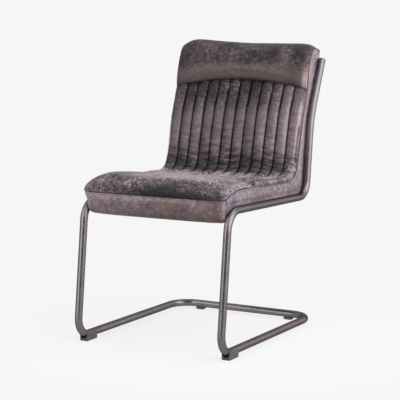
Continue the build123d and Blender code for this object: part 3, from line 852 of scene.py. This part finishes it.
def boxing_tone():
    """Painted sheen towards the left end and under the seam, a painted highlight on the right corner, darker
    along the bottom.
    """
    x, _, z = np.moveaxis(boxing, -1, 0)
    # Painted sheen towards the left end, a painted highlight on the right corner, darker along the bottom
    tone = 0.10 * smooth(-90, -200, x) + 0.16 * smooth(210, 221, x) - 0.08 * smooth(395, 376, z)
    # Painted highlight under the seam, stronger towards the left
    tone += (0.08 + 0.14 * smooth(170, 40, x)) * bump_at(z, 430, 9)
    return tone


def side_tone():
    """Painted highlights along the border seam and at the nose, painted light up the back, darker near the
    top.
    """
    y, z = np.moveaxis(side_yz, -1, 0)
    # Painted highlight along the border seam, painted light up the back, darker near the top
    tone = 0.14 * smooth(0.12, 0.0, down) + 0.22 * smooth(470, 560, z) - 0.12 * smooth(700, 780, z)
    # Painted highlight at the nose
    return tone + 0.12 * smooth(170, 60, y) * smooth(418, 440, z)


# Shades of the panels: dark wax, pale wear, painted shade, highlights and sheen, and how strongly each place
# is mottled
channel_tone, channel_mottle = channel_marks()
headrest_tone, headrest_mottle = headrest_marks()
mark(pieces["front_roll_leather"], "tone", roll_tone())
mark(pieces["channel_leather"], "tone", channel_tone)
mark(pieces["channel_leather"], "mottle", channel_mottle)
mark(pieces["headrest_leather"], "tone", headrest_tone)
mark(pieces["headrest_leather"], "mottle", headrest_mottle)
mark(pieces["front_boxing_leather"], "tone", boxing_tone())
mark(pieces["right_side_leather"], "tone", side_tone())
mark(pieces["left_side_leather"], "tone", side_tone())

PANELS = {
    "front_roll_leather": (roll_hide, "front_roll", "seat_foam"),
    "channel_leather": (rib_hide, "ribbed_panel", "back_foam"),
    "headrest_leather": (head_hide, "headrest"),
    "front_boxing_leather": (box_hide, "front_boxing"),
    "right_side_leather": (side_hide, "right_side_panel"),
    "left_side_leather": (side_hide, "left_side_panel"),
    "outside_back_leather": (back_hide, "outside_back"),
}
for name, (material, *nodes) in PANELS.items():
    finish_piece(pieces[name], material, "leather", *nodes)


def black_weave():
    """Plain weave of black thread, from two crossed sets."""
    made, tree, shader, where = new_material("dust_cloth")
    threads = maths(tree, "MULTIPLY", *(bands(tree, where, 420.0, direction) for direction in ("X", "Y")))
    raised = ranged(tree, threads, 0.0, 0.6)
    set_inputs(tree, shader, {
        "Base Color": mixed(tree, raised, (0.012, 0.012, 0.013), (0.045, 0.045, 0.047)),
        "Roughness": 0.9,
        "Normal": bump(tree, threads, 0.5, 0.0004).outputs[0],
    })
    return made


finish_piece(pieces["dust_cover_cloth"], black_weave(), "dust_cloth", "dust_cover")


def lacquered_steel():
    made, tree, shader, where = new_material("lacquered_steel")
    film = noise(tree, where, 26.0, 5.0)
    fleck = noise(tree, where, 120.0, 3.0)
    coat = mixed(tree, ranged(tree, film, 0.36, 0.64), (0.155, 0.140, 0.146), (0.185, 0.163, 0.165))
    set_inputs(tree, shader, {
        "Base Color": mixed(tree, ranged(tree, fleck, 0.5, 0.75, 0.0, 0.25), coat, (0.12, 0.105, 0.106)),
        "Metallic": 1.0,
        "Roughness": ranged(tree, film, 0.35, 0.65, 0.30, 0.34),
        "Specular Tint": (0.32, 0.29, 0.30, 1),
    })
    return made


def brushed_steel():
    made, tree, shader, where = new_material("brushed_steel")
    drawn = node(tree, "ShaderNodeMapping", {"Vector": where, "Scale": (900.0, 60.0, 900.0)}).outputs[0]
    lines = noise(tree, drawn, 1.0, 3.0)
    set_inputs(tree, shader, {
        "Base Color": mixed(tree, lines, (0.42, 0.42, 0.43), (0.62, 0.62, 0.63)),
        "Metallic": 1.0,
        "Roughness": ranged(tree, lines, 0.3, 0.7, 0.28, 0.42),
    })
    return made


def moulded_plastic():
    made, tree, shader, where = new_material("moulded_plastic")
    grain = noise(tree, where, 420.0, 4.0)
    dust = noise(tree, where, 60.0, 5.0)
    dusty = ranged(tree, dust, 0.35, 0.7)
    set_inputs(tree, shader, {
        "Base Color": mixed(tree, dusty, (0.045, 0.040, 0.040), (0.080, 0.070, 0.069)),
        "Roughness": ranged(tree, dust, 0.3, 0.7, 0.45, 0.6),
        "Normal": bump(tree, grain, 0.25, 0.0003).outputs[0],
    })
    return made


def plywood():
    made, tree, shader, where = new_material("plywood")
    rings = node(tree, "ShaderNodeMapping", {"Vector": where, "Scale": (6.0, 60.0, 60.0)}).outputs[0]
    figure = noise(tree, rings, 2.2, 6.0, 0.6)
    plies = ranged(tree, bands(tree, where, 90.0, "Z"), 0.3, 0.8, 0.0, 0.25)
    veneer = mixed(tree, ranged(tree, figure, 0.35, 0.65), (0.50, 0.34, 0.20), (0.62, 0.46, 0.30))
    set_inputs(tree, shader, {
        "Base Color": mixed(tree, plies, veneer, (0.36, 0.23, 0.13)),
        "Roughness": ranged(tree, figure, 0.3, 0.7, 0.55, 0.7),
    })
    return made


# Frame, fasteners, feet and boards keep their CAD shapes
FINISH = {
    "tube_steel": lacquered_steel(),
    "hardware": brushed_steel(),
    "foot_plastic": moulded_plastic(),
    "plywood": plywood(),
}
slot_of = {item["node"]: item["material_slot"] for item in frame["record"]["subparts"]}
for name, item in frame["nodes"].items():
    item.data.materials.clear()
    item.data.materials.append(FINISH.get(slot_of[name], back_hide))

# Camera at the photograph's angle
AZIMUTH, ELEVATION = math.radians(29.5), math.radians(7.62)
level_part = math.cos(ELEVATION)
toward = Vector((math.sin(AZIMUTH) * level_part, -math.cos(AZIMUTH) * level_part, math.sin(ELEVATION)))
lens = bpy.data.cameras.new("camera")
lens.lens = 126.3
lens.sensor_width = 36
camera = bpy.data.objects.new("camera", lens)
camera.location = (2.0192, -3.5931, 0.9446)
camera.rotation_mode = "QUATERNION"
camera.rotation_quaternion = (-toward).to_track_quat("-Z", "Y")
bpy.context.scene.collection.objects.link(camera)
bpy.context.scene.camera = camera


def shown(tree):
    """1 for the rays that show the background: seen, mirrored or through."""
    path = node(tree, "ShaderNodeLightPath").outputs
    mirrored = maths(tree, "MAXIMUM", path["Is Glossy Ray"], path["Is Transmission Ray"])
    return maths(tree, "MAXIMUM", path["Is Camera Ray"], mirrored)


# Soft studio light in a pale room
WHITE = (0.92, 0.92, 0.92, 1)
world = bpy.data.worlds.new("studio")
world.use_nodes = True
tree = world.node_tree
aim = node(tree, "ShaderNodeTexCoord").outputs["Generated"]
aims = node(tree, "ShaderNodeSeparateXYZ", {0: aim}).outputs
from_right = ranged(tree, aims["X"], -0.8, 0.9, 0.24, 0.42)
from_above = ranged(tree, aims["Z"], 0.05, 0.9, 0.0, 0.4)
lit = tree.nodes["Background"]
set_inputs(tree, lit, {"Color": (0.96, 0.97, 1.0, 1), "Strength": total(tree, from_right, from_above)})
plain = node(tree, "ShaderNodeBackground", {"Color": WHITE, "Strength": 1.0})
both = node(tree, "ShaderNodeMixShader", {0: shown(tree), 1: lit.outputs[0], 2: plain.outputs[0]})
set_inputs(tree, tree.nodes["World Output"], {"Surface": both.outputs[0]})
bpy.context.scene.world = world
bpy.context.scene.view_settings.view_transform = "Standard"


def softbox(name, spot, target, size, power, tall=None):
    """Area light in metres and watts, unseen by the camera."""
    light = bpy.data.lights.new(name, "AREA")
    light.size = size
    if tall:
        light.shape = "RECTANGLE"
        light.size_y = tall
    light.energy = power
    item = bpy.data.objects.new(name, light)
    item.location = spot
    item.rotation_mode = "QUATERNION"
    item.rotation_quaternion = (Vector(target) - Vector(spot)).to_track_quat("-Z", "Y")
    item.visible_camera = False
    bpy.context.scene.collection.objects.link(item)


softbox("key", (-1.7, -2.4, 2.3), (0, 0, 0.5), 1.8, 26)
softbox("strip", (-0.8, -2.9, 0.85), (0, 0, 0.45), 0.8, 19, 1.7)
softbox("right", (3.0, -0.3, 1.9), (0.2, 0.1, 0.5), 3.8, 130)
softbox("rear", (2.4, 2.6, 0.8), (0, 0, 0.4), 3.0, 14, 1.4)
softbox("top", (0.2, 0.3, 3.0), (0, 0, 0.4), 2.2, 16)


def pale_paper():
    """White where it is seen or mirrored, with a faint shadow by the part, and grey where it lights it."""
    made, tree, shader, where = new_material("paper")
    ray = shown(tree)
    white = mixed(tree, noise(tree, where, 3.0, 3.0), (0.88, 0.88, 0.88), (0.90, 0.90, 0.90))
    set_inputs(tree, shader, {
        "Base Color": mixed(tree, ray, (0.36, 0.34, 0.34), white),
        "Roughness": 0.95,
        "Specular IOR Level": 0.0,
    })
    glow = node(tree, "ShaderNodeEmission", {"Color": WHITE, "Strength": 1.0})
    away = node(tree, "ShaderNodeVectorMath", {0: where}, operation="LENGTH").outputs["Value"]
    share = maths(tree, "MULTIPLY", ray, ranged(tree, away, 0.3, 0.9, 0.82, 1.0))
    pale = node(tree, "ShaderNodeMixShader", {0: share, 1: shader.outputs[0], 2: glow.outputs[0]})
    set_inputs(tree, tree.nodes["Material Output"], {"Surface": pale.outputs[0]})
    return made


# Floor, in metres
FLOOR = 30
ground = bpy.data.meshes.new("floor")
ground_points = [(FLOOR * x, FLOOR * y, 0) for x, y in ((-1, -1), (1, -1), (1, 1), (-1, 1))]
ground.from_pydata(ground_points, [], [(0, 1, 2, 3)])
floor = bpy.data.objects.new("floor", ground)
bpy.context.scene.collection.objects.link(floor)
ground.materials.append(pale_paper())


def glowing_dark_card():
    made, tree, shader, where = new_material("felt")
    nap = noise(tree, where, 40.0, 3.0)
    set_inputs(tree, shader, {
        "Base Color": (0, 0, 0, 1),
        "Specular IOR Level": 0.0,
        # Faint glow stands in for the light the dark card would throw back
        "Emission Color": mixed(tree, nap, (0.09, 0.08, 0.084), (0.13, 0.115, 0.12)),
        "Emission Strength": 1.0,
    })
    return made


# Dark curved card in front of the part for the dark side of the tubes, unseen by the camera, in metres
CARD_RADIUS, CARD_STEPS = 1.9, 15
turn = np.radians(np.linspace(2, 58, CARD_STEPS))
arc = np.stack([CARD_RADIUS * np.sin(turn), -CARD_RADIUS * np.cos(turn), 0 * turn], 1)
card_points = np.concatenate([arc + [0, 0, 0.01], arc + [0, 0, 0.75]])
card_mesh = bpy.data.meshes.new("dark_card")
card_mesh.from_pydata(card_points.tolist(), [], grid_faces(2, CARD_STEPS).tolist())
card = bpy.data.objects.new("dark_card", card_mesh)
card.visible_camera = False
card.visible_shadow = False
bpy.context.scene.collection.objects.link(card)
card_mesh.materials.append(glowing_dark_card())
